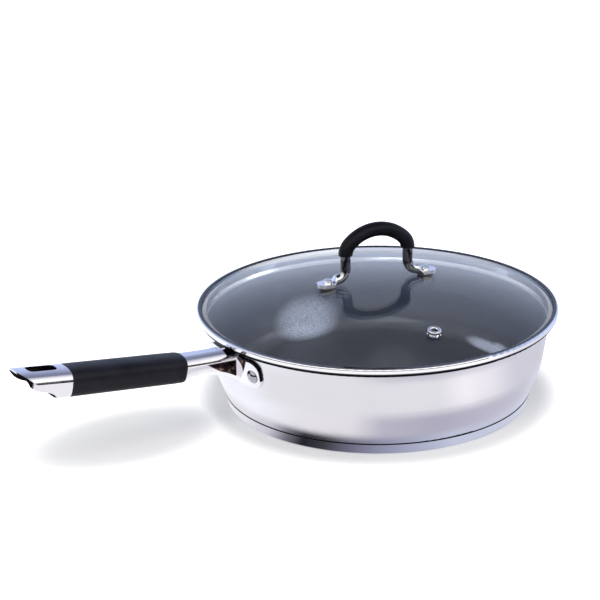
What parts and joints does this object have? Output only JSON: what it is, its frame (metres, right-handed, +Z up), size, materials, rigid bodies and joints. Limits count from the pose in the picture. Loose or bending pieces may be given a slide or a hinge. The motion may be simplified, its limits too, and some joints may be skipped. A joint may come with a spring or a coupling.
{
  "type": "saute pan with lid",
  "caption": "Round nonstick steel saute pan with a long riveted stay-cool handle and a domed glass lid that lifts off, with a steel rim, arched handle and steam vent.",
  "frame": {"origin": "middle of the flat face under the base", "axes": "+Z up the axis of the pan, the long handle points along -X"},
  "size_m": [0.4542, 0.282, 0.1414],
  "materials": {
    "pan_steel": "satin stainless steel, spun",
    "coating": "grey nonstick coating with fine sparkle",
    "core_aluminium": "plain, sealed in",
    "base_steel": "spun stainless steel",
    "handle_steel": "polished stainless steel",
    "rivet_steel": "polished stainless steel",
    "core_steel": "plain, hidden",
    "grip_plastic": "soft-touch black",
    "lid_glass": "clear tempered glass",
    "band_steel": "polished stainless steel",
    "lid_handle_steel": "polished stainless steel",
    "sleeve_silicone": "matte black silicone",
    "screw_steel": "plain stainless steel",
    "gasket_silicone": "dark silicone",
    "vent_steel": "polished stainless steel"
  },
  "bodies": {
    "pan": {"pan_shell": "pan_steel", "nonstick_coating": "coating", "base_core": "core_aluminium", "base_cap": "base_steel", "handle_bracket": "handle_steel", "handle_rivets": "rivet_steel", "handle_core": "core_steel", "handle_grip": "grip_plastic", "handle_end": "handle_steel"},
    "lid": {"lid_glass": "lid_glass", "lid_band": "band_steel", "lid_handle_bar": "lid_handle_steel", "lid_handle_grip": "sleeve_silicone", "lid_handle_screws": "screw_steel", "lid_handle_nuts": "screw_steel", "lid_handle_washers": "screw_steel", "upper_gaskets": "gasket_silicone", "lower_gaskets": "gasket_silicone", "vent_eyelet": "vent_steel", "vent_gasket": "gasket_silicone", "vent_washer": "vent_steel"}
  },
  "joints": [
    {"name": "lid_lift", "type": "slide", "parent": "pan", "child": "lid", "axis": [0, 0, 1], "range_m": [0, 0.15]}
  ]
}
